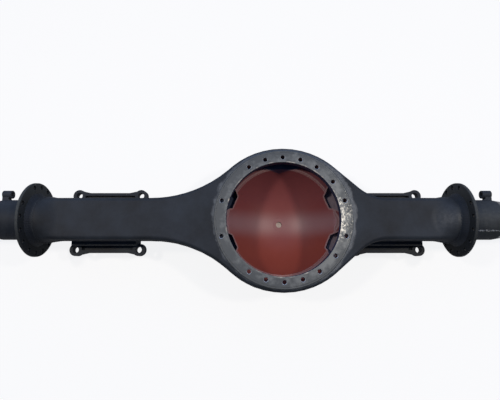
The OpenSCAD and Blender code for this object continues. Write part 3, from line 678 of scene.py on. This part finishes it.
def scuffed_strip(tree, place, speck, up):
    """Mask of a rough rubbed strip along the rear upper side of the right collar."""
    strip_y, strip_core, strip_half, strip_share, chip_mm = -0.042, 0.0015, 0.0075, 0.48, 7
    top_lean = 0.2  # upward share of the normal from which a face is on the upper side
    side = add(tree, "ShaderNodeSeparateXYZ", {"Vector": place})
    from_strip = add(tree, "ShaderNodeMath", {0: side.outputs["Y"], 1: -strip_y}, operation="ADD")
    off = add(tree, "ShaderNodeMath", {0: from_strip.outputs["Value"]}, operation="ABSOLUTE")
    along = add(tree, "ShaderNodeMapRange", {
        "Value": off.outputs["Value"], "From Min": strip_core, "From Max": strip_half,
        "To Min": strip_share, "To Max": 0.0})
    chips = add(tree, "ShaderNodeTexNoise", {
        "Vector": place, "Scale": per_metre(chip_mm), "Detail": 8.0, "Roughness": 0.75})
    rub = add(tree, "ShaderNodeMath", {
        0: chips.outputs["Fac"], 1: along.outputs["Result"]}, operation="ADD")
    strip = add(tree, "ShaderNodeMapRange", {
        "Value": rub.outputs["Value"], "From Min": 0.93, "From Max": 1.05})
    top = add(tree, "ShaderNodeMath", {0: up.outputs["Z"], 1: top_lean}, operation="GREATER_THAN")
    return add(tree, "ShaderNodeMath", {
        0: strip.outputs["Result"], 1: top.outputs["Value"]}, operation="MULTIPLY").outputs["Value"]


collar_black = {
    "left": black_enamel("satin_black_enamel_on_collar", 4, 0.2),
    "right": black_enamel(
        "dusty_black_enamel_on_collar", 4, 0.2, scuffed_strip, ("#8A8C8D", "#F4F3EE"), dustiness=0.3),
}
journal_steel = turned_steel()
collar_length = 0.12
bore_skin = 0.0005  # a face this close to the shaft bore's radius is the bore's wall
thread_length, thread_start, thread_angle = 0.031, 0.003, 30
thread_r, thread_pitch, thread_depth = 0.0399, 0.002, 0.0011
thread_ridge = ((-0.45, 0.0), (-0.1, 1.0), (0.1, 1.0), (0.45, 0.0))  # in pitches along and depths out
thread_turns, turn_steps = int(thread_length / thread_pitch), 72
for name, side in (("left", -1.0), ("right", 1.0)):
    spindle = nodes[name + "_spindle"]
    shaft_r = mount_r(name + "_shaft_bore")
    flange_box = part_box(name + "_brake_flange")
    face_x = flange_box[0].x if side < 0 else flange_box[1].x
    paint_faces(spindle, (collar_black[name], journal_steel), lambda face: int(
        (face.center.x - face_x) * side > collar_length
        or math.hypot(face.center.y, face.center.z - axle_z) < shaft_r + bore_skin))
    low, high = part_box(name + "_spindle")
    end_x = low.x if side < 0 else high.x
    turn = np.arange(thread_turns * turn_steps + 1) / turn_steps
    angle = turn * math.tau
    fade = np.clip(np.minimum(turn, thread_turns - turn) * 2, 0.05, 1.0)
    squeeze = (thread_length - thread_start) / thread_length
    rows = []
    for dx, dr in thread_ridge:
        x = end_x - side * (thread_start + thread_pitch * (turn + 0.5 + dx) * squeeze)
        r = thread_r + dr * thread_depth * fade
        rows.append(np.stack([x, r * np.cos(angle), axle_z + r * np.sin(angle)], axis=1))
    ring = np.stack(rows, axis=1)
    faces = [(4 * i + j, 4 * i + j + 1, 4 * i + j + 5, 4 * i + j + 4)
             for i in range(len(turn) - 1) for j in range(3)]
    mesh = bpy.data.meshes.new(name + "_spindle_thread")
    mesh.from_pydata(ring.reshape(-1, 3).tolist(), [], faces)
    mesh.materials.append(journal_steel)
    thread = bpy.data.objects.new(name + "_spindle_thread", mesh)
    scene.collection.objects.link(thread)
    smooth(thread, thread_angle)
    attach(thread, "root")

# Brake flanges
# Flame-cut and turned steel plates welded to the necks, drilled for the brake spiders.
# Sprayed black with the rest, with painted light in the dust tone towards the front and edges that are hardly
# rubbed;
# the walls of the holes are painted near black, as painted shade.
flange_black = black_enamel(
    "satin_black_enamel_on_flange", 4, 0.2, tones=("#080B0F", "#13171B"), dustiness=0.25, rub=0.15,
    front_painted_light=0.16)
# painted shade: the walls of the drilled holes are near black
hole_shade_black = black_enamel("painted_shade_in_drilled_holes", 4, 0.1, tones=("#030405", "#0A0C0E"), rub=0.0)
rim_r = (flange_high.y - flange_low.y) / 2
rim_width = 0.006  # the rim and its edges; walls further in are those of the holes
for name in ("left_brake_flange", "right_brake_flange"):
    paint_faces(nodes[name], (flange_black, hole_shade_black), lambda face: int(
        abs(face.normal.x) < wall_lean
        and math.hypot(face.center.y, face.center.z - axle_z) < rim_r - rim_width))

# Neck welds
# Heavy steel fillets between the necks and the flanges, laid in one turn of the axle.
# Their faces sink a little in the middle; painted over.
fillet_leg, fillet_sink, fillet_ripple, fillet_pitch, fillet_steps = 0.012, 0.0022, 0.0006, 0.0078, 720
out_share, in_share = 0.857, 0.514  # direction that the fillet's face looks, off the axle and from the flange
for name, side in (("left_neck_weld", -1.0), ("right_neck_weld", 1.0)):
    low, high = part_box(name)
    toe_r = (high.y - low.y) / 2
    root_r = toe_r - fillet_leg
    flange_x, neck_x = (low.x, high.x) if side < 0 else (high.x, low.x)
    turn = np.linspace(0.0, math.tau, fillet_steps, endpoint=False)
    ray = np.stack([np.zeros_like(turn), np.cos(turn), np.sin(turn)], axis=1)
    middle = np.array([0.0, 0.0, axle_z])
    toe = ray * toe_r + middle + np.array([flange_x, 0, 0])
    root = ray * root_r + middle + np.array([neck_x, 0, 0])
    out = ray * out_share - np.array([side * in_share, 0, 0])
    fillet = bead(name + "_bead", toe, root, out, -fillet_sink, fillet_ripple, fillet_pitch, True)
    fillet.data.materials.append(weld_black)
    smooth(fillet, bead_angle)
    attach(fillet, "root")
    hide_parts(name)

# Spring seats
# Steel castings welded under the arms, with four eared bolt holes each.
# The enamel follows the coarse skin of the casting.
cast_black = black_enamel("satin_black_enamel_on_casting", 2.2, 0.5)
for name in ("left_spring_seat", "right_spring_seat"):
    paint_faces(nodes[name], (cast_black,), lambda face: 0)

# Sensor holders
# Short cast steel tubes on a foot, welded to the collars.
# Painted black inside and out, over the same coarse skin as the seats.
for name in ("left_sensor_holder", "right_sensor_holder"):
    paint_faces(nodes[name], (cast_black,), lambda face: 0)

# Floor
# A matt floor just below the housing: nearly white to the camera with a soft shadow, a mid grey to the light
# that it throws back, and a brownish patch below the drain, painted shade of the floor seen through the hole.
floor_half, floor_gap = 40.0, 0.004
floor_white, floor_grey, shaded_patch_tone = "#FFFFFF", "#A0A0A0", "#9B887D"
white_share = 0.85  # what is left is lit and takes the shadow
mirror_share = 0.2  # how white the floor is in reflections, against what the camera sees
patch_r, patch_edge = 0.02, 0.03
floor_z = cad_box[0].z - floor_gap
floor_mesh = bpy.data.meshes.new("floor")
floor_mesh.from_pydata(
    [(x * floor_half, y * floor_half, floor_z) for x, y in ((-1, -1), (1, -1), (1, 1), (-1, 1))],
    [], [(0, 1, 2, 3)])
floor = bpy.data.objects.new("floor", floor_mesh)
scene.collection.objects.link(floor)
material, tree, out = new_material("pale_floor")
ray = add(tree, "ShaderNodeLightPath")
mirrored = add(tree, "ShaderNodeMath", {
    0: ray.outputs["Is Glossy Ray"], 1: ray.outputs["Is Transmission Ray"]}, operation="MAXIMUM")
dimmed = add(tree, "ShaderNodeMath", {0: mirrored.outputs["Value"], 1: mirror_share}, operation="MULTIPLY")
seen = add(tree, "ShaderNodeMath", {
    0: ray.outputs["Is Camera Ray"], 1: dimmed.outputs["Value"]}, operation="MAXIMUM")
share = add(tree, "ShaderNodeMath", {0: seen.outputs["Value"], 1: white_share}, operation="MULTIPLY")
coat = add(tree, "ShaderNodeMix", {
    "Factor": ray.outputs["Is Camera Ray"], 6: linear(floor_grey), 7: linear(floor_white)}, data_type="RGBA")
matt = add(tree, "ShaderNodeBsdfDiffuse", {"Color": coat.outputs[2]})
# painted shade: a brownish patch under the drain, seen through its hole
from_drain = add(tree, "ShaderNodeVectorMath", {
    0: add(tree, "ShaderNodeTexCoord").outputs["Object"], 1: (0.0, 0.0, floor_z)}, operation="DISTANCE")
clear = add(tree, "ShaderNodeMapRange", {
    "Value": from_drain.outputs["Value"], "From Min": patch_r, "From Max": patch_edge})
pale = add(tree, "ShaderNodeMix", {
    "Factor": clear.outputs["Result"], 6: linear(shaded_patch_tone), 7: linear(floor_white)}, data_type="RGBA")
white = add(tree, "ShaderNodeEmission", {"Color": pale.outputs[2], "Strength": 1.0})
mix = add(tree, "ShaderNodeMixShader", {
    0: share.outputs["Value"], 1: matt.outputs["BSDF"], 2: white.outputs["Emission"]})
tree.links.new(mix.outputs["Shader"], out.inputs["Surface"])
floor_mesh.materials.append(material)

# Light
# A pale blue sky that is brighter towards the front, white where the camera looks past the floor,
# and two warm round lamps left and right above the bowl, the right one a little stronger.
sky_tone, lamp_tone, paper_tone = "#A8C4F8", "#FFF3E6", "#FFFFFF"
sky_rear, sky_front = -0.35, 0.8  # directions along Y where the sky is dimmest and brightest
sky_dim, sky_bright = 0.14, 1.15
lamp_x, lamp_y, lamp_z, lamp_size = 1.65, 0.31, 2.66, 0.26
left_watts, right_watts = 34, 38
world = bpy.data.worlds.new("studio")
scene.world = world
world.use_nodes = True
tree = world.node_tree
sky = tree.nodes["Background"]
aim = add(tree, "ShaderNodeSeparateXYZ", {
    "Vector": add(tree, "ShaderNodeTexCoord").outputs["Generated"]})
level = add(tree, "ShaderNodeMapRange", {
    "Value": aim.outputs["Y"], "From Min": sky_rear, "From Max": sky_front,
    "To Min": sky_dim, "To Max": sky_bright})
sky.inputs["Color"].default_value = linear(sky_tone)
tree.links.new(level.outputs["Result"], sky.inputs["Strength"])
paper = add(tree, "ShaderNodeBackground", {"Color": linear(paper_tone), "Strength": 1.0})
shown = add(tree, "ShaderNodeMixShader", {
    0: add(tree, "ShaderNodeLightPath").outputs["Is Camera Ray"],
    1: sky.outputs["Background"], 2: paper.outputs["Background"]})
tree.links.new(shown.outputs["Shader"], tree.nodes["World Output"].inputs["Surface"])
for name, x, watts in (("left_lamp", -lamp_x, left_watts), ("right_lamp", lamp_x, right_watts)):
    lamp_data = bpy.data.lights.new(name, "AREA")
    lamp_data.shape = "DISK"
    lamp_data.size = lamp_size
    lamp_data.energy = watts
    lamp_data.color = linear(lamp_tone)[:3]
    lamp = bpy.data.objects.new(name, lamp_data)
    lamp.location = (x, lamp_y, lamp_z)
    lamp.rotation_euler = (-lamp.location).to_track_quat("-Z", "Y").to_euler()
    scene.collection.objects.link(lamp)

# Camera
# Stands over the bowl a little to the left and the rear, and leans towards the front, as in the photo.
# Its focal length was fitted to the photo, in pixels of a picture as wide as the photo.
focal_px, photo_px, sensor_mm = 390.6, 500, 36.0
camera_at, camera_lean = (-0.1125, -0.1549, 1.298), 9.46
camera_data = bpy.data.cameras.new("camera")
camera_data.sensor_width = sensor_mm
camera_data.lens = focal_px / photo_px * sensor_mm
camera = bpy.data.objects.new("camera", camera_data)
camera.location = camera_at
camera.rotation_euler = (math.radians(camera_lean), 0, 0)
scene.collection.objects.link(camera)
scene.camera = camera
scene.view_settings.view_transform = "Standard"
